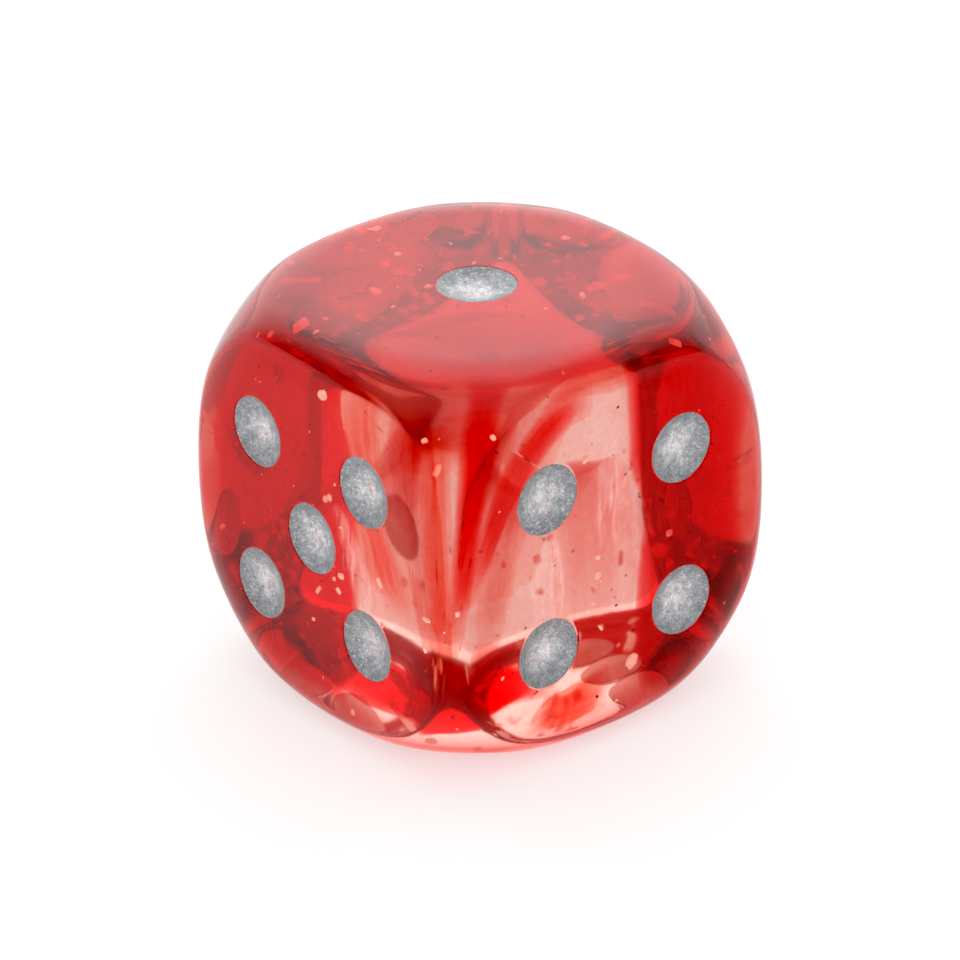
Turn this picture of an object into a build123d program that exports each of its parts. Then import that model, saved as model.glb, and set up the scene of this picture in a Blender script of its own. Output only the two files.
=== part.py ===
"""Round-cornered six-sided die, moulded in one piece of resin, with silver paint in each dimple.

Frame: millimetres, +Z up, origin at the centre of the face that the die rests on, which is the six.
The one is on top, the five faces -Y, the four +X, the two +Y and the three -X. Opposite faces add up
to seven, and one, two and three run anticlockwise round the corner that they share.
"""

import os
from math import sqrt

from build123d import *

# Resin body
DIE_SIZE = 16.0  # across two opposite faces
EDGE_RADIUS = 1.5  # rolled over every edge by tumbling
CORNER_CROWN = 3.0  # how far the ball that rounds the corners off stands proud of each face

# Dimples and the paint in them
PIP_RADIUS = 1.42  # rim of a dimple, measured in its face
ONE_PIP_RADIUS = 1.53  # the lone pip of the one is cut a little wider
PIP_DEPTH = 0.45  # below the face, at the middle of the dimple
PIP_WEB = 0.37  # resin left between two neighbouring dimples of the six
PAINT_THICKNESS = 0.08  # film that lines a dimple and ends flush with the face

# Worked out from the sizes above
HALF_SIZE = DIE_SIZE / 2
CENTRE = Vector(0, 0, HALF_SIZE)
PIP_PITCH = 2 * PIP_RADIUS + PIP_WEB  # from the middle of a face to an outer row or column

# Each face's outward direction, and the direction that runs left to right for someone facing it
FACES = {
    "one": ((0, 0, 1), (1, 0, 0)),
    "two": ((0, 1, 0), (-1, 0, 0)),
    "three": ((-1, 0, 0), (0, -1, 0)),
    "four": ((1, 0, 0), (0, 1, 0)),
    "five": ((0, -1, 0), (1, 0, 0)),
    "six": ((0, 0, -1), (0, 1, 0)),
}

# Column and row of each place that a pip can have, counted in pitches from the middle of the face
PLACES = {
    "centre": (0, 0),
    "upper_left": (-1, 1),
    "upper_right": (1, 1),
    "middle_left": (-1, 0),
    "middle_right": (1, 0),
    "lower_left": (-1, -1),
    "lower_right": (1, -1),
}

DIAGONAL = ["upper_left", "lower_right"]
CORNERS = ["upper_left", "upper_right", "lower_left", "lower_right"]
LAYOUTS = {
    "one": ["centre"],
    "two": DIAGONAL,
    "three": [*DIAGONAL, "centre"],
    "four": CORNERS,
    "five": [*CORNERS, "centre"],
    "six": [*CORNERS, "middle_left", "middle_right"],
}


def make_blank():
    """The die before its dimples are cut: a cube whose corners are turned to a ball, with every edge rolled.

    The core is smaller than the die by the edge radius all round, and growing it by that radius rolls the
    edges between flats, and those between a flat and the ball, in one go.
    """
    core_size = DIE_SIZE - 2 * EDGE_RADIUS
    ball_radius = HALF_SIZE + CORNER_CROWN
    core = Box(core_size, core_size, core_size) & Sphere(ball_radius - EDGE_RADIUS)
    return Pos(CENTRE) * offset(core, amount=EDGE_RADIUS, kind=Kind.ARC)


def face_plane(face):
    """The plane of a face, with its Z outwards and its X to the right for someone facing it."""
    outward, rightward = FACES[face]
    return Plane(CENTRE + Vector(outward) * HALF_SIZE, x_dir=rightward, z_dir=outward)


def cutter_radius(rim_radius):
    """Radius of the ball that leaves a dimple of this rim radius when it is sunk to PIP_DEPTH."""
    return (rim_radius**2 + PIP_DEPTH**2) / (2 * PIP_DEPTH)


def cutter_place(face, place, rim_radius):
    """Where the middle of the ball cutter stands over a pip, as a location on the face."""
    column, row = PLACES[place]
    lift = cutter_radius(rim_radius) - PIP_DEPTH
    return face_plane(face) * Pos(column * PIP_PITCH, row * PIP_PITCH, lift)


def make_cutter(face, place, rim_radius):
    """The ball that cuts one dimple."""
    return cutter_place(face, place, rim_radius) * Sphere(cutter_radius(rim_radius))


def make_paint(face, place, rim_radius, blank):
    """The film of paint that lines one dimple, cut off level with the face."""
    ball_radius = cutter_radius(rim_radius)
    wet_side = cutter_place(face, place, rim_radius) * Sphere(ball_radius - PAINT_THICKNESS)
    return (make_cutter(face, place, rim_radius) - wet_side) & blank


def rim_radius_of(face):
    """Rim radius of the dimples on a face."""
    return ONE_PIP_RADIUS if face == "one" else PIP_RADIUS


def write_part(name, shape):
    """Writes one piece as parts/NAME.step."""
    shape.label = name
    export_step(shape, os.path.join("parts", f"{name}.step"))


os.makedirs("parts", exist_ok=True)

die_blank = make_blank()
pips = [(face, place, rim_radius_of(face)) for face, places in LAYOUTS.items() for place in places]

die_body = die_blank - [make_cutter(*pip) for pip in pips]
write_part("die_body", die_body)

for face, place, rim_radius in pips:
    paint = make_paint(face, place, rim_radius, die_blank)
    write_part(f"pip_{face}_{place}", paint)

flat_radius = sqrt((HALF_SIZE + CORNER_CROWN - EDGE_RADIUS) ** 2 - (HALF_SIZE - EDGE_RADIUS) ** 2)
print(f"{len(pips)} pips, pitch {PIP_PITCH:.2f} mm, corners of each flat at {flat_radius:.2f} mm")
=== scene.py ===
"""Round-cornered six-sided die in marbled red resin, with silver paint in its dimples.

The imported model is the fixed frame, and every size and place below is worked out from it. All lengths are
in metres, written as millimetres times MM, and shapes are worked out about the middle of the die.
"""

from math import cos, pi, radians, sin

import bmesh
import bpy
import numpy as np
from mathutils import Matrix, Vector


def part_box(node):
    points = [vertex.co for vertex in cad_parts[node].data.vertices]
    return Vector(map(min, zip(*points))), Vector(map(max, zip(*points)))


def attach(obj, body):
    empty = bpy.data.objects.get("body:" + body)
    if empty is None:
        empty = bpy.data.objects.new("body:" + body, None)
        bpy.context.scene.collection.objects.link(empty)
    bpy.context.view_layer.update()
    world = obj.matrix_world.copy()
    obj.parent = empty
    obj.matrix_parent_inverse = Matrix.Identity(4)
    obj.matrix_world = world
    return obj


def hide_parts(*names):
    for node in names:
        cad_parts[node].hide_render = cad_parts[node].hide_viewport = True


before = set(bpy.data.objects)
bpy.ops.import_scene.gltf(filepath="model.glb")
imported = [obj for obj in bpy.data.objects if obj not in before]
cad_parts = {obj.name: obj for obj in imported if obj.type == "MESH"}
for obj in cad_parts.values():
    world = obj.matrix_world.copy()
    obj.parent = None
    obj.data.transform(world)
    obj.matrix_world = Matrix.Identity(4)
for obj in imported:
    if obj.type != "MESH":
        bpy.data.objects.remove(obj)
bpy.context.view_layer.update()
MM = 0.001

# ---------------------------------------------------------------------------------------------------
# Resin body. One casting of clear, faintly red polyester resin, tumbled and polished after moulding until
# every edge is rolled and the corners run into one ball. Its dimples are cut by a ball-ended tool.

BODY_LOW, BODY_HIGH = (np.array(corner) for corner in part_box("die_body"))
MIDDLE = (BODY_LOW + BODY_HIGH) / 2
HALF_SIZE = float(BODY_HIGH[0] - BODY_LOW[0]) / 2
EDGE_ROLL = 1.06 * MM  # radius of an edge before the ball takes it further down
BALL_RADIUS = HALF_SIZE + 3.05 * MM
BALL_BLEND = 0.98 * MM  # over which a flat eases into the ball
RIM_WEAR = 0.03 * MM  # over which a dimple's edge is worn round
HALVINGS = 36  # of the interval that holds the surface, enough for full precision

FACES = {  # outward and rightward directions, for someone facing each face
    "one": ((0, 0, 1), (1, 0, 0)),
    "two": ((0, 1, 0), (-1, 0, 0)),
    "three": ((-1, 0, 0), (0, -1, 0)),
    "four": ((1, 0, 0), (0, 1, 0)),
    "five": ((0, -1, 0), (1, 0, 0)),
    "six": ((0, 0, -1), (1, 0, 0)),
}


def face_axes(face):
    """A face's rightward, upward and outward directions, as the rows of a matrix."""
    outward, rightward = (np.array(direction, float) for direction in FACES[face])
    return np.array([rightward, np.cross(outward, rightward), outward])


def measure_pip(name):
    """A dimple's face, its middle in that face, its rim radius and depth, from the box of its CAD node."""
    face = name.split("_")[1]
    low, high = (np.array(corner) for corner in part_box(name))
    middle, size = face_axes(face) @ ((low + high) / 2 - MIDDLE), np.abs(face_axes(face) @ (high - low))
    return {"face": face, "at": middle[:2], "rim": size[0] / 2, "depth": size[2]}


PIPS = {name: measure_pip(name) for name in sorted(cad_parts) if name.startswith("pip_")}
PIP_PITCH = max(abs(float(pip["at"][0])) for pip in PIPS.values())


def smooth_min(a, b, width):
    """The smaller of a and b, rounded off by a parabola where they differ by less than width."""
    share = np.clip(0.5 + 0.5 * (b - a) / width, 0, 1)
    return b + (a - b) * share - width * share * (1 - share)


def body_reach(direction):
    """Distance from the middle to the polished surface along unit vectors: the nearer of a rolled-edge cube
    and a ball, blended. Halving an interval finds where the cube's signed distance is zero."""
    near, far = np.full(len(direction), 0.9 * HALF_SIZE), np.full(len(direction), 1.8 * HALF_SIZE)
    for _ in range(HALVINGS):
        halfway = (near + far) / 2
        over = np.abs(direction * halfway[:, None]) - (HALF_SIZE - EDGE_ROLL)
        signed = np.linalg.norm(np.maximum(over, 0), axis=1) + np.minimum(over.max(1), 0) - EDGE_ROLL
        near, far = np.where(signed < 0, halfway, near), np.where(signed < 0, far, halfway)
    return smooth_min((near + far) / 2, BALL_RADIUS, BALL_BLEND)


def dimple_depth(reach, rim, depth):
    """Depth at a distance from a dimple's middle: a cap of the ball that has this rim and depth, eased to
    zero at the rim."""
    ball = (rim**2 + depth**2) / (2 * depth)
    cap = np.sqrt(np.maximum(ball**2 - reach**2, 0)) - (ball - depth)
    return -smooth_min(-cap, np.zeros_like(cap), RIM_WEAR)


def square_outline(steps):
    """Points round a square of half width 1, anticlockwise from a corner, with these steps to a side."""
    along, one = np.linspace(-1, 1, steps, endpoint=False), np.ones(steps)
    sides = ((-one, -along), (along, -one), (one, along), (-along, one))
    return np.concatenate([np.stack(side, 1) for side in sides])


def ring_quads(rings, around, first=0):
    """Quads that join closed rings of points, where each ring follows the last in the vertex list."""
    ring, at = np.meshgrid(np.arange(rings - 1), np.arange(around), indexing="ij")
    here, after = ring * around + at, ring * around + (at + 1) % around
    return (np.stack([here, after, after + around, here + around], 2).reshape(-1, 4) + first).tolist()


CELL_STEPS = 14  # along one side of a pip's square cell
BOWL_SHARES = np.append(np.linspace(0.05, 0.9, 14), [0.94, 0.965, 0.985])  # of the rim radius
CELL_SHARES = np.array([0, 0.03, 0.08, 0.16, 0.3, 0.5, 0.75, 1])  # of the way from rim to cell's edge
BORDER_RINGS = 24  # from the nine cells out to the edges
BLANK_RIM = 0.44  # of the pitch: the circle in a cell that has no pip
SAME_PLACE = 0.1 * MM  # a pip this near to the middle of a cell is the cell's own


def cell_rings(rim):
    """Rings of one pip's cell: circles out to its rim, then shapes that change from circle to square."""
    square = square_outline(CELL_STEPS) * PIP_PITCH / 2
    circle = square / np.linalg.norm(square, axis=1)[:, None] * rim
    bowl = [circle * share for share in BOWL_SHARES]
    return np.array(bowl + [circle * (1 - share) + square * share for share in CELL_SHARES])


def make_face(face):
    """One side of the body: nine pip cells and a border of square rings out to the cube's edges, laid on
    the flat cube. Each point is then moved along its line from the middle to body_reach, less the dimple's
    depth."""
    flat, sink, polygons, count = [], [], [], 0
    for column, row in ((c, r) for c in (-1, 0, 1) for r in (-1, 0, 1)):
        at = np.array([column, row]) * PIP_PITCH
        pips = [pip for pip in PIPS.values() if pip["face"] == face]
        here = [pip for pip in pips if np.abs(pip["at"] - at).max() < SAME_PLACE]
        rings = cell_rings(here[0]["rim"] if here else BLANK_RIM * PIP_PITCH)
        reach = np.append(np.linalg.norm(rings, axis=2).ravel(), 0.0)
        flat.append(np.append(rings.reshape(-1, 2), [[0.0, 0.0]], 0) + at)
        sink.append(dimple_depth(reach, here[0]["rim"], here[0]["depth"]) if here else reach * 0)
        around, pole = rings.shape[1], count + len(reach) - 1
        polygons += ring_quads(len(rings), around, count)
        polygons += [(pole, count + k, count + (k + 1) % around) for k in range(around)]
        count += len(reach)
    outline = square_outline(3 * CELL_STEPS)
    border = np.array([outline * size for size in np.linspace(1.5 * PIP_PITCH, HALF_SIZE, BORDER_RINGS)])
    polygons += ring_quads(BORDER_RINGS, len(outline), count)
    flat, sink = np.append(np.concatenate(flat), border.reshape(-1, 2), 0), np.concatenate(sink)
    line = np.column_stack([flat, np.full(len(flat), HALF_SIZE)])
    line /= np.linalg.norm(line, axis=1)[:, None]
    points = line * body_reach(line)[:, None]
    points[: len(sink), 2] -= sink
    return points @ face_axes(face), polygons


SEAM = 0.0004 * MM  # points nearer to each other than this are merged


def new_piece(name, points, polygons):
    """A smooth-shaded mesh object from points about the die's middle, with its seams merged and its faces
    turned outwards."""
    mesh = bpy.data.meshes.new(name)
    mesh.from_pydata((np.asarray(points) + MIDDLE).tolist(), [], [tuple(p) for p in polygons])
    work = bmesh.new()
    work.from_mesh(mesh)
    bmesh.ops.remove_doubles(work, verts=work.verts, dist=SEAM)
    bmesh.ops.recalc_face_normals(work, faces=work.faces)
    work.to_mesh(mesh)
    work.free()
    mesh.polygons.foreach_set("use_smooth", np.ones(len(mesh.polygons), bool))
    piece = bpy.data.objects.new(name, mesh)
    bpy.context.scene.collection.objects.link(piece)
    return piece


def node(tree, kind, inputs=(), **settings):
    """Adds one shader node, sets its properties, and gives each named input a value or a link."""
    made = tree.nodes.new(kind)
    for key, value in settings.items():
        setattr(made, key, value)
    for socket, value in dict(inputs).items():
        if isinstance(value, bpy.types.NodeSocket):
            tree.links.new(value, made.inputs[socket])
        else:
            made.inputs[socket].default_value = value
    return made


def tint(hex_code):
    """An sRGB hex code turned to linear red, green and blue, with an alpha of 1."""
    srgb = np.array([int(hex_code[i : i + 2], 16) / 255 for i in (1, 3, 5)])
    linear = np.where(srgb <= 0.04045, srgb / 12.92, ((srgb + 0.055) / 1.055) ** 2.4)
    return (*linear.tolist(), 1.0)


def new_material(name):
    """An empty material, its node tree and its output node."""
    material = bpy.data.materials.new(name)
    material.use_nodes = True
    material.node_tree.nodes.clear()
    return material, material.node_tree, node(material.node_tree, "ShaderNodeOutputMaterial")


def per(length):
    """The texture scale at which a pattern repeats about once in this length."""
    return 1.0 / length


# Cast polyester resin, polished: clear and glossy, blushed pink where pigment has bled into it, with a fine
# haze that tumbling leaves. The skin is deepest along the two upright edges that lie off the clear
# diagonal.
# Low on the near corner, by the table, the skin is deepened as painted shade. Over the one it is painted a
# mid red with a full reflection, while the sides reflect less: painted light on the top, not a change in
# the resin.
GRAIN = 0.22 * MM  # of the powder in the resin
BLUSH = 3.2 * MM  # across a patch of blush
WANDER = 5.0 * MM  # how far the blush moves the border of the deep skin
DIAGONAL_SHIFT = -0.5 * MM  # added to x + y, so that it is zero along the clear diagonal
DEEP_FROM, DEEP_TO = 9.5 * MM, 12.5 * MM  # off the diagonal, over which the skin deepens
NEAR_FROM, NEAR_TO = 3.0 * MM, 7.0 * MM  # x - y, over which the painted shade deepens towards the near corner
PAINTED_SHADE_FROM, PAINTED_SHADE_TO = 2.0 * MM, 0.9 * MM  # height, over which the painted shade deepens low on that corner
TOP_FROM, TOP_TO = 14.4 * MM, 15.8 * MM  # height where the top's painted tint and full reflection begin
RESIN_IOR = 1.5  # cast polyester lies at 1.5 to 1.57
material, tree, output = new_material("cast_polyester_resin")
place = node(tree, "ShaderNodeTexCoord").outputs["Object"]
blush = node(tree, "ShaderNodeTexNoise", {
    "Vector": place, "Scale": per(BLUSH), "Detail": 4.0, "Distortion": 1.2})
grain = node(tree, "ShaderNodeTexNoise", {"Vector": place, "Scale": per(GRAIN), "Detail": 2.0})
amount = node(tree, "ShaderNodeMath", {0: blush.outputs["Fac"], 1: grain.outputs["Fac"]}, operation="ADD")
amount = node(tree, "ShaderNodeMath", {0: amount.outputs[0], 1: 0.5}, operation="MULTIPLY")
clear = node(tree, "ShaderNodeMapRange", {"Value": amount.outputs[0], "From Min": 0.38, "From Max": 0.66})
colour = node(tree, "ShaderNodeMix", {
    0: clear.outputs[0], 6: tint("#FFFFFF"), 7: tint("#FFD9D2")}, data_type="RGBA")
spot = node(tree, "ShaderNodeSeparateXYZ", {"Vector": place})
wander = node(tree, "ShaderNodeMath", {0: blush.outputs["Fac"], 1: WANDER}, operation="MULTIPLY")
off = node(tree, "ShaderNodeMath", {0: spot.outputs[0], 1: spot.outputs[1]}, operation="ADD")
off = node(tree, "ShaderNodeMath", {0: off.outputs[0], 1: DIAGONAL_SHIFT}, operation="ADD")
off = node(tree, "ShaderNodeMath", {0: off.outputs[0]}, operation="ABSOLUTE")
off = node(tree, "ShaderNodeMath", {0: off.outputs[0], 1: wander.outputs[0]}, operation="ADD")
corner = node(tree, "ShaderNodeMapRange", {
    "Value": off.outputs[0], "From Min": DEEP_FROM, "From Max": DEEP_TO})
# Painted shade low on the near corner, where the die meets the table.
low_painted_shade = node(tree, "ShaderNodeMapRange", {
    "Value": spot.outputs[2], "From Min": PAINTED_SHADE_FROM, "From Max": PAINTED_SHADE_TO})
# Painted light: the top face gets its own tint and a full reflection, the sides a weaker one.
top = node(tree, "ShaderNodeMapRange", {"Value": spot.outputs[2], "From Min": TOP_FROM, "From Max": TOP_TO})
near = node(tree, "ShaderNodeMath", {0: spot.outputs[0], 1: spot.outputs[1]}, operation="SUBTRACT")
near = node(tree, "ShaderNodeMapRange", {
    "Value": near.outputs[0], "From Min": NEAR_FROM, "From Max": NEAR_TO})
low_painted_shade = node(tree, "ShaderNodeMath", {0: low_painted_shade.outputs[0], 1: near.outputs[0]}, operation="MULTIPLY")
# Deep red from the skin on the upright edges and from the painted shade by the table.
deep = node(tree, "ShaderNodeMath", {0: corner.outputs[0], 1: low_painted_shade.outputs[0]}, operation="MAXIMUM")
colour = node(tree, "ShaderNodeMix", {
    0: top.outputs[0], 6: colour.outputs[2], 7: tint("#F27468")}, data_type="RGBA")
colour = node(tree, "ShaderNodeMix", {
    0: deep.outputs[0], 6: colour.outputs[2], 7: tint("#DC342C")}, data_type="RGBA")
# Painted reflection: full on the top, weaker on the sides.
painted_reflection = node(tree, "ShaderNodeMix", {
    0: top.outputs[0], 6: tint("#5C5858"), 7: tint("#FFFFFF")}, data_type="RGBA")
haze = node(tree, "ShaderNodeMapRange", {"Value": blush.outputs["Fac"], "To Min": 0.05, "To Max": 0.11})
shader = node(tree, "ShaderNodeBsdfPrincipled", {
    "Base Color": colour.outputs[2], "Roughness": haze.outputs[0], "Specular Tint": painted_reflection.outputs[2],
    "IOR": RESIN_IOR, "Transmission Weight": 1.0})
absorb = node(tree, "ShaderNodeVolumeAbsorption", {"Color": (0.80, 0.24, 0.12, 1), "Density": 58.0})
tree.links.new(shader.outputs[0], output.inputs["Surface"])
tree.links.new(absorb.outputs[0], output.inputs["Volume"])

sides = [make_face(face) for face in FACES]
starts = np.cumsum([0] + [len(points) for points, _ in sides])
resin_body = new_piece(
    "resin_body",
    np.concatenate([points for points, _ in sides]),
    [tuple(np.add(p, start)) for (_, polygons), start in zip(sides, starts) for p in polygons])
resin_body.data.materials.append(material)
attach(resin_body, "root")
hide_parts("die_body")

# ---------------------------------------------------------------------------------------------------
# Silver paint. Aluminium flake paint is flooded into each dimple and the face is wiped, which leaves a thin
# lining that ends in a slightly ragged line just inside the dimple's worn edge.

PAINT_FILM = 0.06 * MM
BOND = 0.012 * MM  # the lining's back is this far into the resin, so the two surfaces never coincide
RAGGED = 0.018 * MM  # how far the wiped edge wanders
RAGGED_WAVES = (3, 5, 8, 13, 21)  # waves round the edge
INSET = 1.2  # how many times RAGGED the edge lies inside the rim
PAINT_AROUND = 96  # points in a ring
LINING_SHARES = np.append(np.linspace(0.06, 0.9, 16), [0.94, 0.97, 0.99, 1.0])  # of the outline

# Aluminium flake in clear lacquer, brushed out thin, with a trace of pink resin where the film is thin. Its
# colour is painted pale in the middle of the hollow, a painted highlight, and greyer towards the rim, a
# painted shade, and single flakes are painted white as painted glints.
FLAKE = 0.048 * MM  # drawn coarser than the real one, which would not show
CLUMP = 0.4 * MM  # across a patch where flakes lie close
WORN = 0.16 * MM  # across a spot where the film is thin
BACK_CLUMP = 0.3 * MM  # the same as CLUMP, against the resin
FLAKE_LEAN = 0.6  # how far a flake turns out of the surface
material, tree, output = new_material("silver_flake_paint")
place = node(tree, "ShaderNodeTexCoord").outputs["Object"]
from_middle = node(tree, "ShaderNodeAttribute", attribute_name="from_middle").outputs["Fac"]
flakes = node(tree, "ShaderNodeTexVoronoi", {"Vector": place, "Scale": per(FLAKE)})
clumps = node(tree, "ShaderNodeTexNoise", {
    "Vector": place, "Scale": per(CLUMP), "Detail": 6.0, "Roughness": 0.8})
parts = node(tree, "ShaderNodeSeparateColor", {"Color": flakes.outputs["Color"]})
uneven = node(tree, "ShaderNodeMapRange", {
    "Value": clumps.outputs["Fac"], "From Min": 0.35, "From Max": 0.65, "To Min": -0.35, "To Max": 0.35})
# Painted highlight in the middle of the dimple, painted shade towards its rim.
spread = node(tree, "ShaderNodeMath", {0: from_middle, 1: uneven.outputs[0]}, operation="ADD")
grey = node(tree, "ShaderNodeValToRGB", {"Fac": spread.outputs[0]})
grey.color_ramp.elements[0].color = tint("#E6E5E7")
grey.color_ramp.elements[1].color = tint("#878A8D")
grey.color_ramp.elements.new(0.6).color = tint("#A6A8AB")
grit = node(tree, "ShaderNodeMapRange", {"Value": parts.outputs[0], "To Min": 0.76, "To Max": 1.16})
gritty = node(tree, "ShaderNodeVectorMath", {
    0: grey.outputs["Color"], 3: grit.outputs[0]}, operation="SCALE")
# Painted glints: a few flakes are painted white.
painted_glint = node(tree, "ShaderNodeMapRange", {
    "Value": parts.outputs[1], "From Min": 0.93, "From Max": 1.0, "To Max": 0.6})
bright = node(tree, "ShaderNodeMix", {
    0: painted_glint.outputs[0], 6: gritty.outputs[0], 7: tint("#FFFFFF")}, data_type="RGBA")
worn = node(tree, "ShaderNodeTexNoise", {"Vector": place, "Scale": per(WORN), "Detail": 3.0})
thin = node(tree, "ShaderNodeMapRange", {
    "Value": worn.outputs["Fac"], "From Min": 0.52, "From Max": 0.66, "To Max": 0.5})
inner = node(tree, "ShaderNodeMapRange", {"Value": from_middle, "From Min": 0.55, "From Max": 0.2})
thin = node(tree, "ShaderNodeMath", {0: thin.outputs[0], 1: inner.outputs[0]}, operation="MULTIPLY")
colour = node(tree, "ShaderNodeMix", {
    0: thin.outputs[0], 6: bright.outputs[2], 7: tint("#D07F8C")}, data_type="RGBA")
lean = node(tree, "ShaderNodeVectorMath", {
    0: flakes.outputs["Color"], 1: (0.5, 0.5, 0.5)}, operation="SUBTRACT")
lean = node(tree, "ShaderNodeVectorMath", {0: lean.outputs[0], 3: FLAKE_LEAN}, operation="SCALE")
facing = node(tree, "ShaderNodeNewGeometry").outputs["Normal"]
tilted = node(tree, "ShaderNodeVectorMath", {0: facing, 1: lean.outputs[0]}, operation="ADD")
tilted = node(tree, "ShaderNodeVectorMath", {0: tilted.outputs[0]}, operation="NORMALIZE")
shader = node(tree, "ShaderNodeBsdfPrincipled", {
    "Base Color": colour.outputs[2], "Metallic": 0.5, "Roughness": 0.38, "Normal": tilted.outputs[0]})
tree.links.new(shader.outputs[0], output.inputs["Surface"])
silver = material

# The same paint from inside the die: flakes lie flat against the resin, so it is a dull mirror. Its weak
# glow is painted light, standing in for the light that the cloudy resin in front of it would scatter.
material, tree, output = new_material("silver_paint_against_resin")
place = node(tree, "ShaderNodeTexCoord").outputs["Object"]
clumps = node(tree, "ShaderNodeTexNoise", {"Vector": place, "Scale": per(BACK_CLUMP), "Detail": 4.0})
grey = node(tree, "ShaderNodeMix", {
    0: clumps.outputs["Fac"], 6: tint("#D2C0BA"), 7: tint("#F6EAE2")}, data_type="RGBA")
# The emission is a painted glow.
shader = node(tree, "ShaderNodeBsdfPrincipled", {
    "Base Color": grey.outputs[2], "Metallic": 0.6, "Roughness": 0.5,
    "Emission Color": tint("#E8988A"), "Emission Strength": 0.28})
tree.links.new(shader.outputs[0], output.inputs["Surface"])
silver_back = material


def make_lining(name, pip, rng):
    """Paint in one dimple: rings that follow dimple_depth, raised by the film in front and sunk by the bond
    behind. The film thins to nothing at an outline that is the rim circle less a few random waves. The
    attribute from_middle is the distance from the pip's middle over its rim radius."""
    turn = np.linspace(0, 2 * pi, PAINT_AROUND, endpoint=False)
    waves = sum(np.sin(n * turn + rng.uniform(0, 2 * pi)) / n**0.5 for n in RAGGED_WAVES) / 3
    outline = pip["rim"] - RAGGED * (INSET - waves)
    reach = LINING_SHARES[:, None] * outline
    level = -dimple_depth(reach, pip["rim"], pip["depth"])
    film = PAINT_FILM * np.sqrt(np.clip(1 - LINING_SHARES**6, 0, 1))[:, None]
    across = np.stack([np.cos(turn), np.sin(turn)], 1) * reach[:, :, None]
    front, back = np.dstack([across, level + film]), np.dstack([across, level - BOND])
    points = np.concatenate([front.reshape(-1, 3), back[::-1].reshape(-1, 3)])
    points = np.append(points, [[0, 0, PAINT_FILM - pip["depth"]], [0, 0, -BOND - pip["depth"]]], 0)
    points += [*pip["at"], HALF_SIZE]
    rings = 2 * len(LINING_SHARES)
    top, last = rings * PAINT_AROUND, (rings - 1) * PAINT_AROUND
    quads = ring_quads(rings, PAINT_AROUND)
    quads += [(top, k, (k + 1) % PAINT_AROUND) for k in range(PAINT_AROUND)]
    quads += [(top + 1, last + (k + 1) % PAINT_AROUND, last + k) for k in range(PAINT_AROUND)]
    lining = new_piece(name, points @ face_axes(pip["face"]), quads)
    lining.data.materials.append(silver)
    lining.data.materials.append(silver_back)
    outward = np.array(FACES[pip["face"]][0])
    normals = np.empty(3 * len(lining.data.polygons))
    lining.data.polygons.foreach_get("normal", normals)
    backs = normals.reshape(-1, 3) @ outward < 0
    lining.data.polygons.foreach_set("material_index", backs.astype(np.int32))
    corners = np.empty(3 * len(lining.data.vertices))
    lining.data.vertices.foreach_get("co", corners)
    local = (corners.reshape(-1, 3) - MIDDLE) @ face_axes(pip["face"]).T
    share = np.linalg.norm(local[:, :2] - pip["at"], axis=1) / pip["rim"]
    lining.data.attributes.new("from_middle", "FLOAT", "POINT").data.foreach_set("value", share)
    return lining


rng = np.random.default_rng(21)
for name, pip in PIPS.items():
    lining = make_lining(name.replace("pip_", "paint_"), pip, rng)
    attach(lining, "root")
    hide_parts(name)

# ---------------------------------------------------------------------------------------------------
# Red pigment. Stirred into the clear resin before it set, so it hangs inside as veils: sheets that are
# thickest along their middle, feather out to nothing at their edges and are streaked along the flow.

CLEARANCE = 0.66  # mm from the surface, so that no veil reaches a dimple
FADE = 0.7  # mm over which a veil thins out as it comes to that clearance
THINNEST = 0.003 * MM  # half a veil's thickness where it ends, so that its two sides never lie in one place
STEEPEST = 0.7  # half a veil's thickness over the room left, at most
FAINTEST = 0.08  # the least that a gap between streaks leaves of the thickness
WIDTH_WAVE = 0.15  # of a veil's width
ALONG, ACROSS = 110, 84  # points on a veil's grid


def bezier(points, share):
    """Points on the Bezier curve with these control points, by joining them in pairs until one is left."""
    curve = np.repeat(np.asarray(points, float)[None], len(share), 0)
    while curve.shape[1] > 1:
        curve = curve[:, :-1] * (1 - share)[:, None, None] + curve[:, 1:] * share[:, None, None]
    return curve[:, 0]


def smooth_noise(rng, rows, columns, row_cells, column_cells):
    """A grid of values from -1 to 1: random numbers on a coarse grid, joined by half cosine waves."""
    coarse = rng.uniform(-1, 1, (row_cells + 2, column_cells + 2))
    at_row, at_column = np.linspace(0, row_cells, rows), np.linspace(0, column_cells, columns)
    row, column = at_row.astype(int), at_column.astype(int)
    down = (1 - np.cos(pi * (at_row - row)))[:, None] / 2
    right = (1 - np.cos(pi * (at_column - column))) / 2
    upper = coarse[row][:, column] * (1 - right) + coarse[row][:, column + 1] * right
    lower = coarse[row + 1][:, column] * (1 - right) + coarse[row + 1][:, column + 1] * right
    return upper * (1 - down) + lower * down


def ease(value):
    """Zero below 0, one above 1, and a smooth S between."""
    value = np.clip(value, 0, 1)
    return value * value * (3 - 2 * value)


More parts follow.
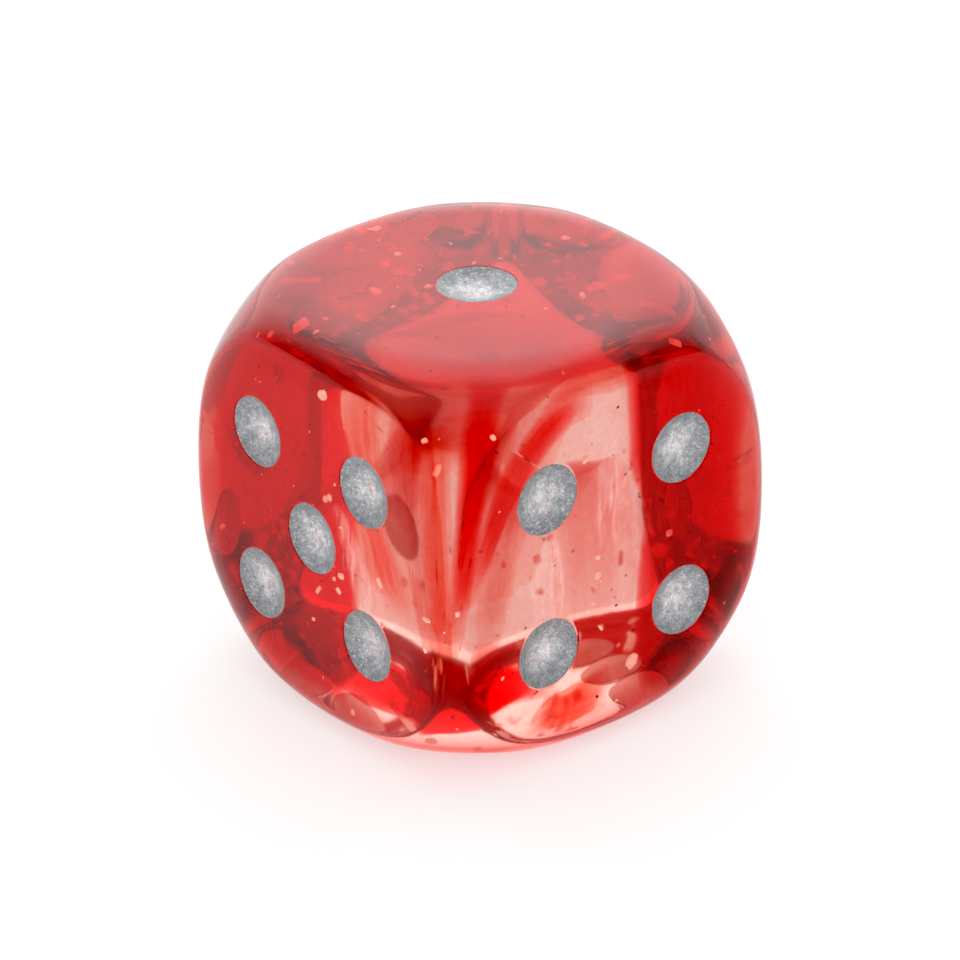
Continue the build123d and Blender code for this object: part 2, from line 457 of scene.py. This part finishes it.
def make_veil(
    name, spine, sides, widths, thickness, seed,
    feather=2.0, ends=(0.3, 0.3), wave=0.25, streak=0.45, clearance=CLEARANCE, fade=FADE,
):
    """A closed sheet. Its middle surface is a Bezier spine plus a side direction times v, with random
    waves. Its thickness is (1 - |v|^feather)^1.5, eased in at both ends, times streaks that run along the
    spine. It fades out towards the clearance from the body's surface, and points past that are drawn back
    to it. The front and back join where the thickness is zero, and triangles with no thickness at all are
    left out. The attribute fullness is the thickness before the streaks, from 0 to 1."""
    rng = np.random.default_rng(seed)
    u, v = np.linspace(0, 1, ALONG), np.linspace(-1, 1, ACROSS)
    middle = bezier(spine, u) * MM
    side = np.outer(1 - u, sides[0]) + np.outer(u, sides[1])
    along = np.gradient(middle, axis=0)
    along /= np.linalg.norm(along, axis=1)[:, None]
    side -= (side * along).sum(1)[:, None] * along
    side /= np.linalg.norm(side, axis=1)[:, None]
    normal = np.cross(along, side)[:, None]
    ragged = 1 + WIDTH_WAVE * smooth_noise(rng, ALONG, 1, 6, 1)[:, 0]
    half = (widths[0] * (1 - u) + widths[1] * u) * MM / 2 * ragged
    sheet = middle[:, None] + side[:, None] * (half[:, None] * v)[:, :, None]
    sheet = sheet + normal * (wave * MM * smooth_noise(rng, ALONG, ACROSS, 4, 3))[:, :, None]
    crown = (1 - np.abs(v) ** feather) ** 1.5 * (ease(u / ends[0]) * ease((1 - u) / ends[1]))[:, None]
    broad, fine = (smooth_noise(rng, ALONG, ACROSS, *cells) for cells in ((4, 16), (3, 40)))
    streaks = 1 + streak * broad + streak / 2 * fine
    flat = sheet.reshape(-1, 3)
    reach = np.linalg.norm(flat, axis=1)
    margin = body_reach(flat / reach[:, None]) - clearance * MM - reach
    thick = thickness * MM / 2 * (crown * np.maximum(streaks, FAINTEST)).ravel()
    thick = thick * ease(margin / (fade * MM))
    thick = np.minimum(thick, STEEPEST * np.maximum(margin, 0))
    thick[thick < THINNEST] = 0
    flat = flat * (1 + np.minimum(margin, 0) / reach)[:, None]
    lift = (np.ones((1, ACROSS, 1)) * normal).reshape(-1, 3) * thick[:, None]
    corner = np.arange(ALONG * ACROSS).reshape(ALONG, ACROSS)
    a, b, c, d = corner[:-1, :-1], corner[1:, :-1], corner[1:, 1:], corner[:-1, 1:]
    halves = np.concatenate([np.stack(half_cell, 2).reshape(-1, 3) for half_cell in ((a, b, c), (a, c, d))])
    halves = halves[(thick[halves] > 0).any(1)]
    behind = np.where(thick > 0, np.arange(len(flat)) + len(flat), np.arange(len(flat)))
    polygons = np.concatenate([halves, behind[halves][:, ::-1]])
    used, polygons = np.unique(polygons, return_inverse=True)
    points = np.concatenate([flat + lift, flat - lift])[used] + MIDDLE
    mesh = bpy.data.meshes.new(name)
    mesh.from_pydata(points.tolist(), [], polygons.reshape(-1, 3).tolist())
    mesh.polygons.foreach_set("use_smooth", np.ones(len(mesh.polygons), bool))
    fullness = np.tile(crown.ravel(), 2)[used]
    mesh.attributes.new("fullness", "FLOAT", "POINT").data.foreach_set("value", fullness)
    veil = bpy.data.objects.new(name, mesh)
    bpy.context.scene.collection.objects.link(veil)
    return veil


MOTTLE = 0.35 * MM  # across a patch of uneven pigment
STRAND, STRAND_LENGTH = 0.3 * MM, 2.6 * MM  # of a milky strand, across and upright
SAME_RESIN_IOR = 1.0  # light isn't bent where clear resin meets coloured resin


def new_pigment(name, through, density):
    """Organic pigment paste stirred into resin: clear, and it takes light up over its whole thickness.
    Through is the colour of the light that it lets by."""
    material, tree, output = new_material(name)
    place = node(tree, "ShaderNodeTexCoord").outputs["Object"]
    mottle = node(tree, "ShaderNodeTexNoise", {"Vector": place, "Scale": per(MOTTLE), "Detail": 3.0})
    colour = node(tree, "ShaderNodeMix", {
        0: mottle.outputs["Fac"], 6: tint("#FFFFFF"), 7: tint("#FFDAD2")}, data_type="RGBA")
    shader = node(tree, "ShaderNodeBsdfPrincipled", {
        "Base Color": colour.outputs[2], "Roughness": 0.0, "IOR": SAME_RESIN_IOR,
        "Transmission Weight": 1.0})
    absorb = node(tree, "ShaderNodeVolumeAbsorption", {"Color": through, "Density": density})
    tree.links.new(shader.outputs[0], output.inputs["Surface"])
    tree.links.new(absorb.outputs[0], output.inputs["Volume"])
    return material


def new_milk(name):
    """Resin clouded by air and undissolved powder: white strands that let part of the light by, with a weak
    painted glow that stands in for the light they scatter."""
    material, tree, output = new_material(name)
    place = node(tree, "ShaderNodeTexCoord").outputs["Object"]
    drawn = node(tree, "ShaderNodeMapping", {
        "Vector": place, "Scale": (per(STRAND), per(STRAND), per(STRAND_LENGTH))})
    strands = node(tree, "ShaderNodeTexNoise", {
        "Vector": drawn.outputs[0], "Scale": 1.0, "Detail": 4.0, "Distortion": 0.7})
    cover = node(tree, "ShaderNodeMapRange", {
        "Value": strands.outputs["Fac"], "From Min": 0.4, "From Max": 0.75, "To Max": 0.6})
    fullness = node(tree, "ShaderNodeAttribute", attribute_name="fullness").outputs["Fac"]
    cover = node(tree, "ShaderNodeMath", {0: cover.outputs[0], 1: fullness}, operation="MULTIPLY")
    colour = node(tree, "ShaderNodeMix", {
        0: strands.outputs["Fac"], 6: tint("#FFF2EA"), 7: tint("#FFFFFF")}, data_type="RGBA")
    # The emission is a painted glow.
    shader = node(tree, "ShaderNodeBsdfPrincipled", {
        "Base Color": colour.outputs[2], "Roughness": 0.6, "Alpha": cover.outputs[0],
        "Emission Color": tint("#FFEDE4"), "Emission Strength": 0.35})
    tree.links.new(shader.outputs[0], output.inputs["Surface"])
    return material


crimson = new_pigment("crimson_pigment", (0.972, 0.04, 0.06, 1), 2600.0)
deep_crimson = new_pigment("deep_crimson_pigment", (0.965, 0.03, 0.03, 1), 4200.0)
scarlet = new_pigment("scarlet_pigment", (0.985, 0.25, 0.10, 1), 1700.0)
rose = new_pigment("rose_pigment", (0.93, 0.55, 0.55, 1), 1300.0)
milky = new_milk("milky_resin")

UPRIGHT = dict(feather=6, ends=(0.01, 0.01))  # for a veil that keeps its thickness right to its edges
NEAR = dict(clearance=0.12, fade=0.3)  # for a veil where the body has no dimple
ALONG_X, ALONG_Y, ALONG_Z = ((1, 0, 0), (1, 0, 0)), ((0, 1, 0), (0, 1, 0)), ((0, 0, 1), (0, 0, 1))
FACING = ((0.62, 0.78, 0), (0.62, 0.78, 0))  # across the near edge
VEILS = {  # pigment, spine in mm, side directions at its two ends, widths in mm, thickness in mm, the rest
    "veil_behind_five": (
        crimson, [(-3.8, -5.2, 8.5), (-3.6, -5.0, 0), (-3.8, -5.2, -8.5)], ALONG_X, (9, 9), 1.9, UPRIGHT),
    "veil_behind_four": (
        crimson, [(5.2, 5.4, 8.5), (5.0, 5.4, 0), (5.2, 5.4, -8.5)], ALONG_Y, (6.5, 6.5), 1.9, UPRIGHT),
    "veil_under_one": (
        crimson, [(-7.5, 7.5, 6.5), (0, 0, 6.8), (7, -7, 7.6)], ((1, 1, 0), (1, 1, 0)), (23, 23), 0.9,
        dict(UPRIGHT, wave=0.1, clearance=0.25, fade=0.45)),
    "veil_over_six": (
        crimson, [(-8.5, -4.5, -5.6), (0, -4.0, -6.0), (5.5, -5, -5.8)],
        ALONG_Y, (6, 6), 1.0, dict(feather=3)),
    "near_edge_streak": (
        deep_crimson, [(5.6, -4.0, 7.4), (7.05, -5.4, 6.9), (7.3, -6.75, 2.6), (7.15, -7.0, -2.4)],
        ((0.55, 0.8, 0), (0.4, 0.9, 0)), (1.7, 0.5), 0.8,
        dict(NEAR, wave=0.06, ends=(0.03, 0.4), streak=0.25)),
    "slanting_streak": (
        deep_crimson, [(7.0, -0.4, 6.4), (7.0, -3.4, 6.5), (7.05, -5.4, 2.9), (7.0, -6.7, -0.6)],
        ((0, 0.3, 0.9), (0, 0.9, 0.2)), (1.7, 0.8), 0.5,
        dict(clearance=0.4, fade=0.4, wave=0.08, streak=0.4)),
    "scarlet_fold": (
        scarlet, [(1.1, -6.1, 7.4), (1.6, -6.0, 3.5), (3.2, -6.0, 0.5), (3.4, -5.8, -2.5)],
        ALONG_X, (2.4, 4.2), 0.8, dict(streak=0.7)),
    "rose_fold_five": (
        rose, [(3.6, -6.2, 6.9), (4.6, -6.4, 4.5), (5.6, -6.4, 1), (6.4, -6.6, -5)],
        ALONG_X, (2.8, 0.6), 0.9, dict(wave=0.1)),
    "scarlet_seam": (
        scarlet, [(5.6, -6.6, 7.0), (6.7, -7.1, 3), (6.9, -7.2, -5)],
        FACING, (1.1, 0.9), 0.6, dict(NEAR, wave=0.08, ends=(0.3, 0.5))),
    "rose_fold_four": (
        rose, [(6.7, -2.6, 7.1), (6.8, -4.0, 4.8), (6.7, -5.0, 1), (6.7, -5.6, -3)],
        ALONG_Y, (3.4, 1.0), 0.9, dict(wave=0.1)),
    "scarlet_shelf": (
        scarlet, [(6.6, 3.5, 7.0), (6.7, 0.5, 6.9), (6.6, -3.0, 6.9)],
        ALONG_Z, (1.9, 1.0), 0.8, dict(wave=0.1)),
    "ember_low": (
        scarlet, [(6.4, -3.2, -6.2), (6.2, -1.6, -6.6), (5.8, 0.6, -6.5)],
        ((0.4, 0, 1), (0.4, 0, 1)), (1.6, 2.4), 1.2, dict(wave=0.2)),
    "ember_near_edge": (
        scarlet, [(3.4, -6.4, -4.6), (5.4, -6.2, -5.2), (6.6, -4.8, -4.9)],
        ALONG_Z, (1.4, 1.6), 0.9, dict(wave=0.2)),
    "smoke_right": (
        deep_crimson, [(6.0, 3.2, 2.4), (5.8, 5.0, 0.6), (5.4, 6.6, 0.2)],
        ((0, 0.3, 1), (0, 0.3, 1)), (2.4, 1.2), 0.35, dict(wave=0.2, streak=0.7)),
    "smoke_left": (
        deep_crimson, [(-6.8, -6.2, 2.5), (-6.0, -6.4, 0.5), (-6.4, -6.3, -2.5)],
        ALONG_X, (0.8, 2.0), 0.35, dict(wave=0.2, streak=0.7)),
    "veil_across_middle": (
        rose, [(-6, -1, -5), (-2, 2, 4), (3, 2, 2), (5, 0, -6)],
        ((0.3, 1, 0), (0, 1, 0.4)), (5, 3), 0.9, dict(wave=0.6)),
    "veil_behind_two": (
        scarlet, [(2.5, 6.4, 7), (3.5, 6.2, 0), (1.5, 6.4, -7)], ALONG_X, (3, 5), 0.8, dict(wave=0.3)),
    "veil_behind_three": (
        scarlet, [(-6.4, -3.5, 7), (-6.2, -4.5, 0), (-6.4, -3.0, -7)],
        ALONG_Y, (3, 4), 0.8, dict(wave=0.3)),
    "milky_strand_high": (
        milky, [(6.6, 0.8, 4.6), (6.7, 0.2, 2.2), (6.6, 0.6, -0.8)],
        ALONG_Y, (1.6, 2.2), 0.06, dict(wave=0.2)),
    "milky_strand_low": (
        milky, [(6.5, -2.4, 1.6), (6.6, -2.8, -0.6), (6.5, -2.2, -3.4)],
        ALONG_Y, (1.2, 2.6), 0.06, dict(wave=0.2)),
    "milky_strand_five": (
        milky, [(0.6, -6.6, 1.8), (1.6, -6.6, -0.8), (3.6, -6.6, -2.6)],
        ALONG_X, (0.9, 2.8), 0.06, dict(wave=0.2)),
}
for seed, (name, (finish, spine, sides, widths, thickness, more)) in enumerate(VEILS.items()):
    veil = make_veil(name, spine, sides, widths, thickness, seed, **more)
    veil.data.materials.append(finish)
    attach(veil, "root")

# ---------------------------------------------------------------------------------------------------
# Chips. Scraps of pale resin and a few dark grains that were stirred in with the pigment. Each is a thin
# flake with a broken outline, lying at any angle a little way under the surface.

CHIP_SIDES = 12
CHIP_RAGGED = 0.78, 1.15  # radius of a corner over the chip's mean radius
CHIP_SHRINK = np.array([1.0, 0.7])  # each chip is one of these two sizes, about half of them each
CHIP_NARROW = 0.8  # width over length
CHIP_THICKNESS = 0.22  # half a chip's thickness over its mean radius
CHIP_BEVEL = 0.85  # the upper ring over the lower one
CHIP_CROWN = 1.2  # height of a chip's middle over that of its rings
CHIP_CLOUD, GRAIN_CLOUD = 0.25 * MM, 0.1 * MM  # across a patch of colour
CHIP_REACH = 1.3  # a little more than a chip's furthest corner over its mean radius
COVER = 0.1 * MM  # least resin over a chip
PIP_ROOM, PIP_COVER = 2.1 * MM, 0.65 * MM  # this near to a pip, chips lie this much deeper
PIP_CENTRES = np.array([np.append(pip["at"], HALF_SIZE) @ face_axes(pip["face"]) for pip in PIPS.values()])

# Ground polyester resin, unpigmented: chalky where it was broken, with a painted glow that stands in for
# the light reaching it through the resin round it.
material, tree, output = new_material("ground_resin_chips")
place = node(tree, "ShaderNodeTexCoord").outputs["Object"]
cloud = node(tree, "ShaderNodeTexNoise", {"Vector": place, "Scale": per(CHIP_CLOUD), "Detail": 4.0})
pale = node(tree, "ShaderNodeMix", {
    0: cloud.outputs["Fac"], 6: tint("#E8BEA4"), 7: tint("#FFF6EC")}, data_type="RGBA")
# The emission is a painted glow.
shader = node(tree, "ShaderNodeBsdfPrincipled", {
    "Base Color": pale.outputs[2], "Roughness": 0.6,
    "Emission Color": tint("#F2D2BC"), "Emission Strength": 0.4})
tree.links.new(shader.outputs[0], output.inputs["Surface"])
chip_resin = material

# Burnt pigment: dull brown grains.
material, tree, output = new_material("dark_grains")
place = node(tree, "ShaderNodeTexCoord").outputs["Object"]
cloud = node(tree, "ShaderNodeTexNoise", {"Vector": place, "Scale": per(GRAIN_CLOUD), "Detail": 2.0})
brown = node(tree, "ShaderNodeMix", {
    0: cloud.outputs["Fac"], 6: tint("#5A2018"), 7: tint("#B05040")}, data_type="RGBA")
shader = node(tree, "ShaderNodeBsdfPrincipled", {"Base Color": brown.outputs[2], "Roughness": 0.6})
tree.links.new(shader.outputs[0], output.inputs["Surface"])
grain_brown = material


def make_chips(name, count, sizes, depths, rng):
    """Flakes as many-sided discs: two rings of points at random radii, each ring closed by a middle point.
    Sizes are spread evenly on a log scale, and places evenly over the surface at random depths."""
    outward = rng.normal(size=(count, 3))
    outward /= np.linalg.norm(outward, axis=1)[:, None]
    size = np.exp(rng.uniform(np.log(sizes[0]), np.log(sizes[1]), count)) * MM / 2
    depth = np.maximum(rng.uniform(*depths, count) * MM, CHIP_REACH * size + COVER)
    surface = outward * body_reach(outward)[:, None]
    to_pip = np.linalg.norm(surface[:, None] - PIP_CENTRES, axis=2).min(1)
    depth += np.where(to_pip < PIP_ROOM, PIP_COVER, 0)
    middle = outward * (body_reach(outward) - depth)[:, None]
    axes = np.linalg.qr(rng.normal(size=(count, 3, 3)))[0]
    turn = np.linspace(0, 2 * pi, CHIP_SIDES, endpoint=False)
    radius = size[:, None] * rng.uniform(*CHIP_RAGGED, (count, CHIP_SIDES))
    radius = radius * CHIP_SHRINK[rng.integers(0, 2, count)][:, None]
    outline = np.stack([np.cos(turn) * radius, np.sin(turn) * radius * CHIP_NARROW, 0 * radius], 2)
    lift = np.array([0, 0, 1.0]) * size[:, None, None] * CHIP_THICKNESS
    crown = lift * CHIP_CROWN
    local = np.concatenate([crown, outline * CHIP_BEVEL + lift, outline - lift, -crown], 1)
    points = np.einsum("nkj,njl->nkl", local, axes) + middle[:, None]
    at = np.arange(CHIP_SIDES)
    after = (at + 1) % CHIP_SIDES
    last = 2 * CHIP_SIDES + 1
    polygons = [(0, 1 + a, 1 + b) for a, b in zip(at, after)]
    polygons += [(1 + a, 1 + CHIP_SIDES + a, 1 + CHIP_SIDES + b, 1 + b) for a, b in zip(at, after)]
    polygons += [(last, 1 + CHIP_SIDES + b, 1 + CHIP_SIDES + a) for a, b in zip(at, after)]
    polygons = [tuple(np.add(p, k * (last + 1))) for k in range(count) for p in polygons]
    return new_piece(name, points.reshape(-1, 3), polygons)


rng = np.random.default_rng(7)
for name, count, sizes, depths, finish in (  # sizes and depths in mm
    ("pale_chips", 230, (0.12, 0.75), (0.25, 1.1), chip_resin),
    ("dark_grains", 130, (0.07, 0.2), (0.75, 3.0), grain_brown),
):
    chips = make_chips(name, count, sizes, depths, rng)
    chips.data.polygons.foreach_set("use_smooth", np.zeros(len(chips.data.polygons), bool))
    chips.data.materials.append(finish)
    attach(chips, "root")

# ---------------------------------------------------------------------------------------------------
# Studio. A white acrylic table lit from below, a bright backdrop behind, and dark flags at both sides that
# give the die's outline its edge.

TABLE_REACH = 3.0  # from the middle to each side
TABLE_TOP = float(BODY_LOW[2]) - 0.01 * MM
TABLE_CORNERS = np.array([(-1, -1), (1, -1), (1, 1), (-1, 1)]) * TABLE_REACH
mesh = bpy.data.meshes.new("light_table")
mesh.from_pydata([(x, y, TABLE_TOP) for x, y in TABLE_CORNERS.tolist()], [], [(0, 1, 2, 3)])
floor = bpy.data.objects.new("light_table", mesh)
bpy.context.scene.collection.objects.link(floor)
material, tree, output = new_material("lit_acrylic_sheet")
shader = node(tree, "ShaderNodeBsdfPrincipled", {
    "Base Color": (0.5, 0.5, 0.5, 1), "Roughness": 1.0, "Specular IOR Level": 0.0,
    "Emission Color": (1, 1, 1, 1), "Emission Strength": 0.56})
tree.links.new(shader.outputs[0], output.inputs["Surface"])
mesh.materials.append(material)

CAMERA_AZIMUTH, CAMERA_ELEVATION, CAMERA_DISTANCE = radians(51.45), radians(27.72), 254.1 * MM
CAMERA_ROLL = radians(-0.80)
AIM = Vector((0.10, -0.05, -0.20)) * MM  # from the die's middle
BACKDROP = Vector((-sin(CAMERA_AZIMUTH), cos(CAMERA_AZIMUTH), 0.45)).normalized()
FLAGS = (cos(CAMERA_AZIMUTH), sin(CAMERA_AZIMUTH), 0)  # they stand to the left and right of the table
world = bpy.data.worlds.new("studio")
bpy.context.scene.world = world
world.use_nodes = True
tree = world.node_tree
tree.nodes.clear()
towards_light = node(tree, "ShaderNodeTexCoord").outputs["Generated"]
facing = node(tree, "ShaderNodeVectorMath", {0: towards_light, 1: tuple(BACKDROP)}, operation="DOT_PRODUCT")
glow = node(tree, "ShaderNodeMapRange", {
    "Value": facing.outputs["Value"], "From Min": 0.45, "From Max": 0.9, "To Min": 0.95, "To Max": 1.75},
    interpolation_type="SMOOTHSTEP")
beside = node(tree, "ShaderNodeVectorMath", {0: towards_light, 1: FLAGS}, operation="DOT_PRODUCT")
beside = node(tree, "ShaderNodeMath", {0: beside.outputs["Value"]}, operation="ABSOLUTE")
height = node(tree, "ShaderNodeSeparateXYZ", {0: towards_light}).outputs["Z"]
raised = node(tree, "ShaderNodeMapRange", {"Value": height, "From Min": 0.05, "From Max": 0.12})
beside = node(tree, "ShaderNodeMath", {0: beside.outputs[0], 1: raised.outputs[0]}, operation="MULTIPLY")
shade = node(tree, "ShaderNodeMapRange", {
    "Value": beside.outputs[0], "From Min": 0.72, "From Max": 0.96, "To Min": 1.0, "To Max": 0.3},
    interpolation_type="SMOOTHSTEP")
light = node(tree, "ShaderNodeMath", {0: glow.outputs[0], 1: shade.outputs[0]}, operation="MULTIPLY")
background = node(tree, "ShaderNodeBackground", {"Color": (1, 1, 1, 1), "Strength": light.outputs[0]})
tree.links.new(background.outputs[0], node(tree, "ShaderNodeOutputWorld").inputs["Surface"])

BLACK_POINT = 0.016
BOUNCES = 64  # light turns back many times inside the die
scene = bpy.context.scene
scene.view_settings.view_transform = "Standard"
scene.view_settings.use_curve_mapping = True  # for a black point, below which all is black
scene.view_settings.curve_mapping.black_level = (BLACK_POINT, BLACK_POINT, BLACK_POINT)
scene.view_settings.curve_mapping.update()
scene.cycles.blur_glossy = 0.0
scene.cycles.max_bounces = BOUNCES
scene.cycles.transmission_bounces = BOUNCES
scene.cycles.glossy_bounces = 12
scene.cycles.transparent_max_bounces = 32

camera_data = bpy.data.cameras.new("camera")
camera = bpy.data.objects.new("camera", camera_data)
scene.collection.objects.link(camera)
level = cos(CAMERA_ELEVATION)
towards = Vector((sin(CAMERA_AZIMUTH) * level, -cos(CAMERA_AZIMUTH) * level, sin(CAMERA_ELEVATION)))
camera.location = Vector(MIDDLE) + AIM + towards * CAMERA_DISTANCE
roll = Matrix.Rotation(CAMERA_ROLL, 4, "Z")
camera.rotation_euler = (towards.to_track_quat("Z", "Y").to_matrix().to_4x4() @ roll).to_euler()
camera_data.sensor_width = 36.0
camera_data.lens = 252.0  # a long lens, so the die hardly tapers
camera_data.clip_start, camera_data.clip_end = 0.01, 20
scene.camera = camera
